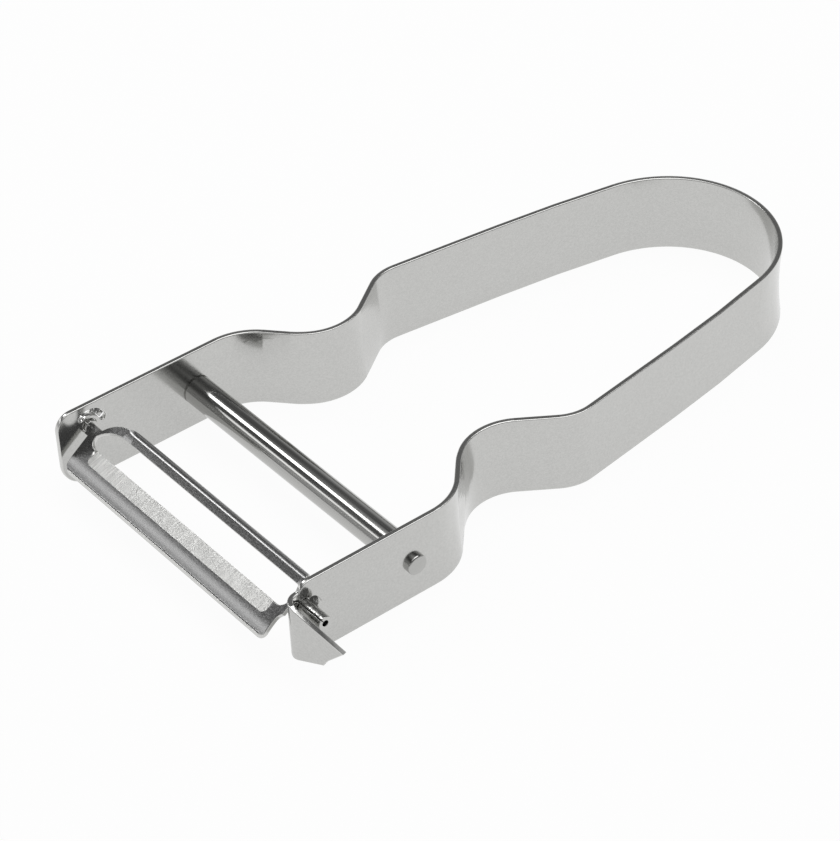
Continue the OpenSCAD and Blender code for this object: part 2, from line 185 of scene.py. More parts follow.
class HandleSizes(bpy.types.PropertyGroup):
    """Sizes of the handle's strip, of its bends and of the eye remover."""

    strip_h: length("Strip height", "Height of the strip, its width before bending", 14)
    strip_t: length("Strip thickness", "Thickness of the strip", 0.85)
    edge_r: length("Edge rounding", "Radius of the strip's tumbled edges", 0.16)
    curl: share("Curl", "How strongly the strip's width curls against its bends", 0.45)
    curl_limit: length("Curl limit", "Bend radius at which the curl is halved", 9)
    curl_reach: length("Curl reach", "Distance over which the curl evens out", 4)
    loop_r: length("Loop radius", "Bend radius of the loop's end", 18)
    bow_out: length("Bow width", "How much wider a side stands at the bow than at the loop", 2)
    bow_l: length("Bow distance", "Distance of the bow from the loop's round end", 7.2)
    bow_share: share("Bow bend", "Share of the side up to the bow that its bend takes", 0.98)
    hip_out: length("Hip width", "How much wider a side stands at the hips than at the bow", 4.5)
    hip_l: length("Hip distance", "Distance from the bow to the hips", 33.4)
    hip_share: share("Hip bend", "Share of the side to the waist that the hips' bend takes", 0.18)
    waist_in: length("Waist depth", "How far a side draws in from the hips to the waist", 9.3)
    waist_l: length("Waist distance", "Distance from the hips to the waist", 13.3)
    waist_share: share("Waist bend", "Share of the shoulder's side that the waist takes", 0.82)
    shoulder_out: length("Shoulder width", "How much wider the shoulder is than the waist", 5.2)
    shoulder_l: length("Shoulder distance", "Distance from the waist to the shoulder", 6.5)
    shoulder_share: share("Shoulder bend", "Share of its side that its bend takes", 0.11)
    arm_bend_l: length("Arm bend distance", "Distance from the shoulder to the arms", 6.2)
    arm_share: share("Arm bend", "Share of the side from the shoulder that it takes", 0.47)
    arm_gap: length("Arm gap", "Clear distance between the arms", 54)
    arm_l: length("Arm length", "Length of the plain arm from its rear bend", 34.3)
    plain_top_r: length("Upper corner", "Radius of the plain arm's upper front corner", 2.8)
    plain_bottom_r: length("Lower corner", "Radius of the plain arm's lower front corner", 4.5)
    fold_gap: length("Fold gap", "Gap between the blade's pin and the inside of the fold", 1.5)
    fold_angle: angle("Fold angle", "Angle through which the strip is folded outwards", 108)
    fold_r: length("Fold radius", "Radius of the fold at the middle of the strip", 2.05)
    fold_drop: length("Fold drop", "Drop of the upper edge before the fold", 1.4)
    fold_rise: length("Fold rise", "Rise of the lower edge before the fold", 2.7)
    neck_low_l: length("Lower neck", "Length over which the lower edge rises to the fold", 3.8)
    neck_low_r: length("Lower neck radius", "Radius of the curve in which it rises", 4.6)
    neck_top_l: length("Upper neck", "Length over which the upper edge drops to the fold", 2.4)
    neck_top_r: length("Upper neck radius", "Radius of the curve in which it drops", 2.4)
    wing_l: length("Wing length", "Length of the pointed wing past the fold", 8.1)
    wing_tip_share: share("Wing point", "Height of the point as a share of the wing's", 0.52)
    tooth_l: length("Tooth distance", "Length of the lower cutting edge up to its tooth", 4.4)
    tooth_rise: length("Tooth rise", "Rise of the lower cutting edge up to its tooth", 1.3)
    step_h: length("Step height", "Height of the step behind the tooth", 1.2)
    step_l: length("Step length", "Length of the step behind the tooth", 0.8)
    axis_in: length("Axis distance", "Distance of the swivel axis from the plain arm's end", 5.8)
    axis_drop: length("Axis depth", "Depth of the swivel axis below the upper edge", 4.1)
    hole_r: length("Bearing radius", "Radius of the bearing holes", 1.23)
    stop_web: length("Stop web", "Wall between a bearing hole and the stop slot", 0.65)
    stop_w: length("Stop slot", "Width of the curved stop slot", 1.15)
    stop_rear: angle("Stop slot rear", "Angle of the slot's rear end above the horizontal", 15)
    stop_front: angle("Stop slot front", "Angle of its front end above the horizontal", 125)
    rivet_hole_r: length("Rivet hole", "Radius of the holes for the crossbar's necks", 1.32)


class BladeSizes(bpy.types.PropertyGroup):
    """Sizes of the pressed blade and of its rolled pins."""

    sheet_t: length("Sheet thickness", "Thickness of the blade's sheet", 0.8)
    edge_r: length("Edge rounding", "Radius of the sheet's stamped edges", 0.1)
    tilt: angle("Tilt", "Tilt of the blade at rest, front side down", 36)
    yoke_play: length("End room", "Room between the arms and the yokes, on the average", 1.57)
    shift: length("Shift", "How much nearer the yokes lie to the folded arm", 0.5)
    bar_over: length("Bar over", "Length of the front bar over that across the yokes", 0.34)
    bar_shift: length("Bar shift", "How far the front bar lies back to the plain arm", 0.78)
    edge_w: length("Edge distance", "Distance of the cutting edge from the axis", 2.3)
    bevel_w: length("Bevel width", "Width of the ground bevel", 2.45)
    edge_t: length("Edge thickness", "Thickness left at the cutting edge", 0.12)
    bevel_in: length("Bevel ends", "Length of the front bar past the bevel's ends", 2.7)
    bevel_corner_r: length("Bevel corners", "Corner radius at the bevel's ends", 1.2)
    bevel_shift: length("Bevel shift", "How far the bevel lies back to the plain arm", 0.3)
    bevel_margin: length("Bevel margin", "Flat width between the bevel and the bend", 0.1)
    bowed_w: length("Bowed width", "Width of the front bar's bowed part", 2.1)
    front_bend_r: length("Front bend", "Bend radius of the front bar", 9.5)
    lip_r: length("Lip bend", "Bend radius of the lip", 0.6)
    lip_angle: angle("Lip angle", "Angle of the lip, turned up from the bar", 48)
    lip_w: length("Lip width", "Straight part of the lip", 0.25)
    lip_corner_r: length("Lip corners", "Corner radius at the lip's ends", 1.2)
    slot_back_w: length("Slot rear", "Distance of the slot's rear side from the axis", 1.75)
    slot_rear_l: length("Slot far end", "Length over which its far rear corner is round", 4.95)
    slot_rear_r: length("Slot far corner", "Radius of the slot's far rear corner", 6.4)
    slot_near_r: length("Slot near corner", "Radius of the slot's near rear corner", 0.7)
    slot_front_r: length("Slot front corners", "Radius of the slot's front corners", 1.5)
    rear_flat_w: length("Rear bar", "Flat width of the rear bar", 1.1)
    flange_r: length("Flange bend", "Bend radius of the rear flange", 0.55)
    flange_angle: angle("Flange angle", "Angle of the rear flange below the blade", 80)
    flange_w: length("Flange width", "Straight part of the rear flange", 0.5)
    flange_in: length("Far flange end", "Length of the far yoke past the flange's end", 5)
    near_flange_in: length("Near flange end", "Length of the near yoke past its end", 0.6)
    flange_run: length("Far run-out", "Length over which the far end's bend runs out", 2.5)
    near_flange_run: length("Near run-out", "The same length at the near end", 0.8)
    yoke_w: length("Yoke width", "Width of the yokes at the slot's ends", 0.65)
    yoke_back_w: length("Yoke rear", "Distance by which the yokes reach past the bar", 0.6)
    yoke_r: length("Far yoke corner", "Rear corner radius of the far yoke", 6)
    near_yoke_r: length("Near yoke corner", "Rear corner radius of the near yoke", 0.8)
    shoulder_w: length("Shoulder", "Distance of the near yoke's corner from the axis", 2.9)
    flare_r: length("Flare", "Radius of the curve from that corner to the bar", 2)
    neck_front_w: length("Neck front", "Width of each neck in front of the axis", 1.45)
    neck_back_w: length("Neck rear", "Width of each neck behind the axis", 0.6)
    neck_play: length("Neck play", "Play between the necks and the folded arm", 0.3)
    pin_r: length("Pin radius", "Radius of the rolled pins", 1.15)
    pin_bore_r: length("Pin bore", "Radius of the bore inside the rolled pins", 0.5)
    seam_w: length("Pin seam", "Width of the seam along the rolled pins", 0.12)
    pin_out_l: length("Pin length", "Length of the folded arm's pin outside it", 5)
    ear_play: length("Ear play", "Play between the outer ears and the arms", 0.2)
    ear_w: length("Round ear width", "Width of the folded arm's ear along its pin", 1.9)
    ear_r: length("Round ear reach", "Reach of the folded arm's ear from the axis", 2.3)
    tab_ear_w: length("Stop ear width", "Width of the plain arm's ear along its pin", 1)
    tab_clear: length("Tab clearance", "Gap between the stop tab and its slot", 0.1)


class CrossbarSizes(bpy.types.PropertyGroup):
    """Sizes of the turned crossbar."""

    bar_in: length("Bar distance", "Distance of the bar in front of the arms' rear bends", 8.5)
    bar_z: length("Bar height", "Height of the bar's axis above the lower edge", 6.5)
    bar_r: length("Bar radius", "Radius of the crossbar", 2.5)
    neck_r: length("Neck radius", "Radius of the necks through the arms", 1.3)
    head_rim: length("Head rim", "Width by which the heads cover the strip", 0.4)
    head_h: length("Head height", "Height of the riveted heads outside the arms", 1.05)
    chamfer: length("Chamfer", "Chamfer at the ends of the bar", 0.25)
    dome: length("Dome", "Rise of the heads' faces at their middle", 0.15)
    head_groove: length("Head rings", "Depth of the turned rings in the heads' faces", 0.02)
    head_edge_r: length("Head edge", "Radius of the heads' outer edges", 0.35)


class SteelColours(bpy.types.PropertyGroup):
    """Colours of the peeler's four steel finishes."""

    strip: colour("Strip", "Satin strip steel of the handle", "#C8C8C6")
    edge: colour("Edges", "Tumbled bright edges of the sheet parts", "#D2D2D0")
    blade: colour("Blade", "Hardened blade sheet", "#ACACAC")
    pin: colour("Pins", "Burnished rolled pins and ears", "#C4C4C2")
    ground: colour("Bevel", "Freshly ground cutting bevel", "#F0F0EE")
    bar: colour("Bar", "Polished turned bar", "#B4B4B2")


class StageSettings(bpy.types.PropertyGroup):
    """The camera's focal length, the strength of the studio's lights and the floor's colour."""

    focal: length("Focal length", "Focal length for a sensor 36 mm wide", 136.2)
    key_power: power("Key light", "Power of the large overhead light", 1.1)
    fill_power: power("Fill light", "Power of the low strip light", 0.2)
    edge_power: power("Edge light", "Power of the light on the bevel", 0.3)
    floor: colour("Floor", "Matt pale floor", "#F7F7F7")


def walk(steps):
    """Points of a path in its own plane, which starts at the origin along the first axis.

    A step is a straight length, or a bend as its radius and its turn, positive to the left.
    """
    place, heading = Vector((0.0, 0.0)), 0.0
    points = [place.copy()]
    for step in steps:
        if not isinstance(step, tuple):
            place = place + step * Vector((cos(heading), sin(heading)))
            points.append(place.copy())
            continue
        radius, turn = step
        side = copysign(radius, turn)
        centre = place + side * Vector((-sin(heading), cos(heading)))
        count = ceil(abs(turn) / BEND_STEP)
        for i in range(1, count + 1):
            now = heading + turn * i / count
            place = centre - side * Vector((-sin(now), cos(now)))
            points.append(place.copy())
        heading += turn
    return points


def travel(points):
    """Distance of each point of a path from its first one, along the path."""
    total, result = 0.0, [0.0]
    for near, far in zip(points, points[1:]):
        total += (far - near).length
        result.append(total)
    return result


def arc(centre, radius, start, end):
    """Points of a circle's arc from one angle to another, both ends included."""
    count = max(2, ceil(abs(end - start) / ARC_STEP))
    turns = [start + (end - start) * i / count for i in range(count + 1)]
    return [(centre[0] + radius * cos(a), centre[1] + radius * sin(a)) for a in turns]


def ring(centre, radius):
    """Points of a round hole, clockwise as holes go."""
    return arc(centre, radius, 0.0, ARC_STEP - tau)


def flat_blank(name, outline, holes, thickness, edge_r):
    """A flat sheet with rounded edges, drawn in X and Y and thick along Z."""
    drawing = bpy.data.curves.new(name, "CURVE")
    drawing.dimensions = "2D"
    drawing.fill_mode = "BOTH"
    drawing.extrude = thickness / 2 - edge_r
    drawing.bevel_depth = edge_r
    drawing.bevel_resolution = EDGE_RINGS
    drawing.offset = -edge_r
    for loop in [outline, *holes]:
        spline = drawing.splines.new("POLY")
        spline.points.add(len(loop) - 1)
        for point, (x, y) in zip(spline.points, loop):
            point.co = (x, y, 0.0, 1.0)
        spline.use_cyclic_u = True
    holder = bpy.data.objects.new(name, drawing)
    mesh = bpy.data.meshes.new_from_object(holder)
    bpy.data.objects.remove(holder)
    bm = bmesh.new()
    bm.from_mesh(mesh)
    bmesh.ops.remove_doubles(bm, verts=bm.verts, dist=MERGE)
    bmesh.ops.recalc_face_normals(bm, faces=bm.faces)
    bm.to_mesh(mesh)
    bm.free()
    return mesh


def cut_across(mesh, stations, side_stations=(), side_reach=inf):
    """Cut a blank across at every station along X, where it is going to be bent, and at those
    along Y as far as it curls to both sides of the middle."""
    bm = bmesh.new()
    bm.from_mesh(mesh)
    for axis, places, reach in ((0, stations, inf), (1, side_stations, side_reach)):
        normal = [float(i == axis) for i in range(3)]
        ahead = [face for face in bm.faces if abs(face.calc_center_median().x) < reach]
        for place in sorted(places):
            edges = {edge for face in ahead for edge in face.edges}
            verts = {vert for face in ahead for vert in face.verts}
            cut = bmesh.ops.bisect_plane(
                bm,
                geom=[*ahead, *edges, *verts],
                dist=MERGE,
                plane_co=[place * part for part in normal],
                plane_no=normal,
            )
            faces = [made for made in cut["geom"] if isinstance(made, bmesh.types.BMFace)]
            ahead = [face for face in faces if face.calc_center_median()[axis] > place]

    # The slanting edges left by the drawing's fill would show as creases once it is bent
    slanting = []
    for edge in bm.edges:
        run = edge.verts[1].co - edge.verts[0].co
        is_flat = all(abs(face.normal.z) > FLAT_NORMAL for face in edge.link_faces)
        if is_flat and abs(run.x) > MERGE and abs(run.y) > MERGE:
            slanting.append(edge)
    bmesh.ops.dissolve_limit(bm, angle_limit=PLANE_TURN, verts=[], edges=slanting)
    left_over = [vert for vert in bm.verts if len(vert.link_edges) == 2]
    bmesh.ops.dissolve_verts(bm, verts=left_over)
    bm.to_mesh(mesh)
    bm.free()


def mark(mesh, is_ground=None, slack=None, curl=None):
    """Give a blank its attributes: the faces of its rounded edges are marked edge and those that
    were ground are marked ground; flat keeps each point's flat place, slack the length by which
    a point is bent less than its place would have it, and curl how far it bows in a bend."""
    bm = bmesh.new()
    bm.from_mesh(mesh)
    edge = bm.faces.layers.bool.new("edge")
    ground = bm.faces.layers.bool.new("ground")
    flat = bm.verts.layers.float_vector.new("flat")
    loose = bm.verts.layers.float.new("slack")
    curled = bm.verts.layers.float.new("curl")
    for face in bm.faces:
        face[ground] = bool(is_ground and is_ground(face))
        face[edge] = abs(face.normal.z) < FLAT_NORMAL and not face[ground]
        face.smooth = True
    for side in bm.edges:
        side.smooth = len({face[ground] for face in side.link_faces}) < 2
    for vert in bm.verts:
        vert[flat] = vert.co
        vert[loose] = slack(vert.co) if slack else 0.0
        vert[curled] = curl(vert.co) if curl else 0.0
    bm.to_mesh(mesh)
    bm.free()


def path_curve(name, points):
    """A path through points in space, for a blank to be bent along."""
    data = bpy.data.curves.new(name, "CURVE")
    data.dimensions = "3D"
    spline = data.splines.new("POLY")
    spline.points.add(len(points) - 1)
    for point, place in zip(spline.points, points):
        point.co = (*place, 1.0)
    path = bpy.data.objects.new(name, data)
    bpy.context.scene.collection.objects.link(path)
    return path


def add(tree, kind, inputs=(), **settings):
    """A node with its settings, and with each input linked to a socket or set to a value."""
    node = tree.nodes.new(kind)
    for key, value in settings.items():
        setattr(node, key, value)
    for key, value in dict(inputs).items():
        if isinstance(value, bpy.types.NodeSocket):
            tree.links.new(value, node.inputs[key])
        else:
            node.inputs[key].default_value = value
    return node


def bending_tree():
    """Geometry Nodes that bend a flat sheet along a path: its X runs along the path, its Y along
    the width axis, and its Z is set off at right angles to both. A point with some slack is
    placed by a point that much further on, and goes straight back from there. Where the sheet
    curls, its width bows against the bend, as it does in any bent strip: the middle of the width
    moves towards the bend's centre and the edges stay."""
    tree = bpy.data.node_groups.new("Bend sheet along path", "GeometryNodeTree")
    sockets = {
        "Sheet": "NodeSocketGeometry",
        "Path": "NodeSocketObject",
        "Start": "NodeSocketFloat",
        "Width axis": "NodeSocketVector",
        "Curl reach": "NodeSocketFloat",
        "Curl limit": "NodeSocketFloat",
        "Face finish": "NodeSocketMaterial",
        "Edge finish": "NodeSocketMaterial",
        "Ground finish": "NodeSocketMaterial",
    }
    for name, kind in sockets.items():
        tree.interface.new_socket(name, in_out="INPUT", socket_type=kind)
    tree.interface.new_socket("Bent sheet", in_out="OUTPUT", socket_type="NodeSocketGeometry")

    given = add(tree, "NodeGroupInput").outputs
    place = add(tree, "GeometryNodeInputPosition").outputs[0]
    flat = add(tree, "ShaderNodeSeparateXYZ", {0: place}).outputs
    path = add(tree, "GeometryNodeObjectInfo", {"Object": given["Path"]}).outputs["Geometry"]
    kinds = {"slack": "FLOAT", "curl": "FLOAT", "edge": "BOOLEAN", "ground": "BOOLEAN"}
    marks = {}
    for name, kind in kinds.items():
        named = {"Name": name}
        node = add(tree, "GeometryNodeInputNamedAttribute", named, data_type=kind)
        marks[name] = node.outputs[0]

    # The path where the point belongs, and a little behind that and ahead of it
    shift = {0: flat[0], 1: given["Start"]}
    shift = add(tree, "ShaderNodeMath", shift, operation="ADD").outputs[0]
    along = {0: shift, 1: marks["slack"]}
    along = add(tree, "ShaderNodeMath", along, operation="ADD").outputs[0]
    samples = []
    for side in (-1.0, 0.0, 1.0):
        spot = {0: given["Curl reach"], 1: side, 2: along}
        spot = add(tree, "ShaderNodeMath", spot, operation="MULTIPLY_ADD").outputs[0]
        on_path = {"Curves": path, "Length": spot}
        samples.append(add(tree, "GeometryNodeSampleCurve", on_path, mode="LENGTH").outputs)
    behind, here, ahead = samples

    # The path's turn between those two places, and the bow that comes of it
    turn = {0: ahead["Tangent"], 1: behind["Tangent"]}
    turn = add(tree, "ShaderNodeVectorMath", turn, operation="SUBTRACT").outputs[0]
    amount = add(tree, "ShaderNodeVectorMath", {0: turn}, operation="LENGTH").outputs["Value"]
    limited = {0: amount, 1: given["Curl limit"]}
    limited = add(tree, "ShaderNodeMath", limited, operation="MULTIPLY").outputs[0]
    span = {0: given["Curl reach"], 1: 2.0, 2: limited}
    span = add(tree, "ShaderNodeMath", span, operation="MULTIPLY_ADD").outputs[0]
    bow = {0: marks["curl"], 1: span}
    bow = add(tree, "ShaderNodeMath", bow, operation="DIVIDE").outputs[0]

    # The point's place is the sum of all its moves
    back = {0: marks["slack"], 1: -1.0}
    back = add(tree, "ShaderNodeMath", back, operation="MULTIPLY").outputs[0]
    across = {0: here["Tangent"], 1: given["Width axis"]}
    across = add(tree, "ShaderNodeVectorMath", across, operation="CROSS_PRODUCT").outputs[0]
    bent = here["Position"]
    moves = [(here["Tangent"], back), (turn, bow), (across, flat[2])]
    for direction, distance in [*moves, (given["Width axis"], flat[1])]:
        move = {0: direction, "Scale": distance}
        move = add(tree, "ShaderNodeVectorMath", move, operation="SCALE").outputs[0]
        both = {0: bent, 1: move}
        bent = add(tree, "ShaderNodeVectorMath", both, operation="ADD").outputs[0]

    moved = {"Geometry": given["Sheet"], "Position": bent}
    shape = add(tree, "GeometryNodeSetPosition", moved).outputs[0]
    shape = add(tree, "GeometryNodeRealizeInstances", {0: shape}).outputs[0]
    coat = {"Geometry": shape, "Material": given["Face finish"]}
    shape = add(tree, "GeometryNodeSetMaterial", coat).outputs[0]
    for name, finish in (("edge", "Edge finish"), ("ground", "Ground finish")):
        coat = {"Geometry": shape, "Selection": marks[name], "Material": given[finish]}
        shape = add(tree, "GeometryNodeSetMaterial", coat).outputs[0]
    add(tree, "NodeGroupOutput", {0: shape})
    return tree


def show(name, mesh):
    """An object for a mesh, in the scene."""
    piece = bpy.data.objects.new(name, mesh)
    bpy.context.scene.collection.objects.link(piece)
    return piece


def settle(piece):
    """Turn a piece and its modifiers into one plain mesh."""
    piece_now = piece.evaluated_get(bpy.context.evaluated_depsgraph_get())
    mesh = bpy.data.meshes.new_from_object(
        piece_now, preserve_all_data_layers=True, depsgraph=bpy.context.evaluated_depsgraph_get()
    )
    piece.modifiers.clear()
    piece.data = mesh


def bend_sheet(piece, path_points, start, width_axis, settings):
    """Bend a flat piece along a path with the nodes' other inputs, and make it a plain mesh."""
    path = path_curve(piece.name + "_path", path_points)
    bend = piece.modifiers.new("Bend", "NODES")
    bend.node_group = bpy.data.node_groups.get("Bend sheet along path") or bending_tree()
    values = {"Path": path, "Start": start, "Width axis": width_axis, **settings}
    for item in bend.node_group.interface.items_tree:
        if item.name in values:
            bend[item.identifier] = values[item.name]
    settle(piece)
    bpy.data.objects.remove(path)


def smooth_by_area(piece):
    """Let the large faces lead the shading, so that flats stay flat beside rounded edges."""
    weights = piece.modifiers.new("Shading", "WEIGHTED_NORMAL")
    weights.mode = "FACE_AREA"
    weights.weight = AREA_WEIGHT
    weights.keep_sharp = True
    settle(piece)


class HandleShape:
    """The middle line of the handle, and where things lie along it."""

    def __init__(self, sizes):
        arm = sizes.arm_gap / 2 + sizes.strip_t / 2
        bow = Vector((sizes.loop_r + sizes.bow_out, -sizes.loop_r - sizes.bow_l))
        hip = bow + Vector((sizes.hip_out, -sizes.hip_l))
        waist = hip - Vector((sizes.waist_in, sizes.waist_l))
        shoulder = waist + Vector((sizes.shoulder_out, -sizes.shoulder_l))
        rear_bend = Vector((arm, shoulder.y - sizes.arm_bend_l))

        # The side of the loop leaves its round end as a tangent, towards the bow
        to_loop = Vector((-bow.x, -bow.y - sizes.loop_r))
        tangent_l = sqrt(to_loop.length_squared - sizes.loop_r**2)
        turn = atan2(to_loop.y, to_loop.x) - asin(sizes.loop_r / to_loop.length) - pi
        loop_corner = Vector((sizes.loop_r * tan(-turn / 2), 0))

        self.end_y = rear_bend.y - sizes.arm_l
        self.axis_y = self.end_y + sizes.axis_in
        blade = bpy.context.scene.peeler_blade
        self.fold_y = self.axis_y - blade.pin_r - sizes.fold_gap - sizes.strip_t
        self.bar_y = rear_bend.y - bpy.context.scene.peeler_crossbar.bar_in

        corners = [Vector((0, 0)), loop_corner, bow, hip, waist, shoulder, rear_bend]
        corners.append(Vector((arm, self.fold_y)))
        sides = [far - near for near, far in zip(corners, corners[1:])]
        turns = [near.angle_signed(far) * -1 for near, far in zip(sides, sides[1:])]
        setbacks = [
            loop_corner.x,
            sizes.bow_share * tangent_l,
            sizes.hip_share * sides[3].length,
            sizes.waist_share * sides[4].length,
            sizes.shoulder_share * sides[4].length,
            sizes.arm_share * sides[5].length,
        ]
        steps = []
        for i, (turn, setback) in enumerate(zip(turns, setbacks)):
            steps.append((setback / tan(abs(turn) / 2), turn))
            following = setbacks[i + 1] if i + 1 < len(setbacks) else 0.0
            steps.append(sides[i + 1].length - setback - following)

        # The last straight run differs: to the plain arm's end, or to the fold and round it
        arm_start = rear_bend.y - setbacks[-1]
        fold_start = self.fold_y + sizes.strip_t / 2 + sizes.fold_r
        plain = walk(steps[:-1] + [arm_start - self.end_y])
        folded = walk(steps[:-1] + [arm_start - fold_start])
        self.fold_s = travel(folded)[-1]
        wing = [(sizes.fold_r, sizes.fold_angle), sizes.wing_l]
        folded = walk(steps[:-1] + [arm_start - fold_start] + wing)
        self.wing_s = travel(folded)[-2]
        self.arm_s = travel(plain)[-2] + arm_start
        self.end_s = travel(plain)[-1]
        left = [Vector((-p.x, p.y)) for p in reversed(plain)]
        self.points = left + folded[1:]

    def along(self, y):
        """Distance along the middle line, from the loop's end to a place on an arm."""
        return self.arm_s - y


def strip_outline(sizes, shape):
    """Outline of the flattened strip, from the plain arm's lower corner, anticlockwise."""
    left = -shape.end_s
    top = sizes.strip_h
    fold_top = top - sizes.fold_drop
    low_c = (shape.fold_s - sizes.neck_low_l, sizes.neck_low_r)
    top_c = (shape.fold_s - sizes.neck_top_l, top - sizes.neck_top_r)
    wing = shape.wing_s
    tip_z = sizes.fold_rise + sizes.wing_tip_share * (fold_top - sizes.fold_rise)
    tooth_z = sizes.fold_rise + sizes.tooth_rise
    low = asin((sizes.fold_rise - low_c[1]) / sizes.neck_low_r)
    high = asin((fold_top - top_c[1]) / sizes.neck_top_r)
    low_corner = (left + sizes.plain_bottom_r, sizes.plain_bottom_r)
    top_corner = (left + sizes.plain_top_r, top - sizes.plain_top_r)
    return [
        *arc(low_corner, sizes.plain_bottom_r, pi, 1.5 * pi),
        *arc(low_c, sizes.neck_low_r, -pi / 2, low),
        (wing - sizes.strip_t, sizes.fold_rise),
        (wing + sizes.tooth_l, tooth_z),
        (wing + sizes.tooth_l + sizes.step_l, tooth_z + sizes.step_h),
        (wing + sizes.wing_l, tip_z),
        (wing - sizes.strip_t, fold_top),
        *arc(top_c, sizes.neck_top_r, high, pi / 2),
        *arc(top_corner, sizes.plain_top_r, pi / 2, pi),
    ]


def stop_slot_outline(sizes, centre):
    """Outline of the curved stop slot with round ends, clockwise as holes go."""
    inner = sizes.hole_r + sizes.stop_web
    outer = inner + sizes.stop_w
    middle = (inner + outer) / 2
    rear, front = sizes.stop_rear, sizes.stop_front
    ends = []
    for turn, start in ((front, front), (rear, rear + pi)):
        end_c = (centre[0] + middle * cos(turn), centre[1] + middle * sin(turn))
        ends.append(arc(end_c, sizes.stop_w / 2, start, start + pi)[1:-1])
    around = [*arc(centre, outer, rear, front), *ends[0], *arc(centre, inner, front, rear), *ends[1]]
    return around[::-1]


class PEELER_OT_strap_handle(bpy.types.Operator):
    """Stamp the strip's blank and bend it into the handle"""

    bl_idname = "peeler.strap_handle"
    bl_label = "Strap handle"

    def execute(self, context):
        sizes = context.scene.peeler_handle
        shape = HandleShape(sizes)
        axis_z = sizes.strip_h - sizes.axis_drop
        axis_s = shape.along(shape.axis_y)
        bar_s = shape.along(shape.bar_y)
        bar_z = context.scene.peeler_crossbar.bar_z
        holes = [
            ring((-axis_s, axis_z), sizes.hole_r),
            ring((axis_s, axis_z), sizes.hole_r),
            ring((-bar_s, bar_z), sizes.rivet_hole_r),
            ring((bar_s, bar_z), sizes.rivet_hole_r),
            stop_slot_outline(sizes, (-axis_s, axis_z)),
        ]
        stations = [s - shape.end_s for s in travel(shape.points)]
        outline = strip_outline(sizes, shape)
        blank = flat_blank("strap", outline, holes, sizes.strip_t, sizes.edge_r)
        rows = [sizes.strip_h * i / WIDTH_ROWS for i in range(1, WIDTH_ROWS)]
        curl_end = bar_s - 2 * sizes.rivet_hole_r
        cut_across(blank, stations + [-curl_end, curl_end], rows, curl_end)

        def curl(place):
            depth = sizes.curl * place.y * (sizes.strip_h - place.y) / 2
            return depth if abs(place.x) < curl_end - MERGE else 0.0

        mark(blank, curl=curl)
        strap = show("strap", blank)
        path = [(p.x, p.y, 0.0) for p in shape.points]
        colours = context.scene.peeler_colours
        settings = {
            "Face finish": satin_strip_steel(colours.strip),
            "Edge finish": tumbled_edge_steel(colours.edge),
            "Curl reach": sizes.curl_reach,
            "Curl limit": sizes.curl_limit,
        }
        bend_sheet(strap, path, shape.end_s, (0.0, 0.0, 1.0), settings)
        smooth_by_area(strap)
        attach(strap, "handle")
        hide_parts("strap_handle")
        return {"FINISHED"}


def blade_steps(sizes):
    """The blade's section in front of the swivel axis and behind it, as steps of a path."""
    front_turn = asin(sizes.bowed_w / sizes.front_bend_r)
    front = [
        sizes.edge_w + sizes.bevel_w + sizes.bevel_margin,
        (sizes.front_bend_r, -front_turn),
        (sizes.lip_r, sizes.lip_angle),
        sizes.lip_w,
    ]
    rear = [
        sizes.slot_back_w + sizes.rear_flat_w,
        (sizes.flange_r, -sizes.flange_angle),
        sizes.flange_w,
    ]
    return front, rear


class BladeShape:
    """Places along the blade's swivel axis, and the blade's section as it is bent."""

    def __init__(self, sizes, handle):
        arm_in = handle.arm_gap / 2
        arm_out = arm_in + handle.strip_t
        self.yoke = arm_in - sizes.yoke_play
        self.bar = self.yoke + sizes.bar_over / 2
        self.slot = self.yoke - sizes.yoke_w
        self.bevel = self.bar - sizes.bevel_in
        self.near_flange = self.yoke - sizes.near_flange_in
        self.far_flange = sizes.flange_in - self.yoke
        self.near_neck = arm_in - sizes.neck_play - sizes.shift
        self.far_neck = arm_in - sizes.neck_play + sizes.shift
        self.near_ear = arm_out + sizes.ear_play - sizes.shift
        self.far_ear = arm_out + sizes.ear_play + sizes.shift
        self.near_end = arm_out + sizes.pin_out_l - sizes.shift
        self.far_end = self.far_ear + sizes.tab_ear_w + sizes.ear_play
        self.rear_bar = sizes.slot_back_w + sizes.rear_flat_w
        self.bevel_end = sizes.edge_w + sizes.bevel_w
        self.slope = (sizes.sheet_t - sizes.edge_t) / sizes.bevel_w
        self.front, self.rear = [walk(steps) for steps in blade_steps(sizes)]
        self.front_l = travel(self.front)[-1]
        self.rear_l = travel(self.rear)[-1]
        self.turn = Matrix.Translation(HINGE + Vector((sizes.shift, 0, 0)))
        self.turn = self.turn @ Matrix.Rotation(sizes.tilt, 4, "X")


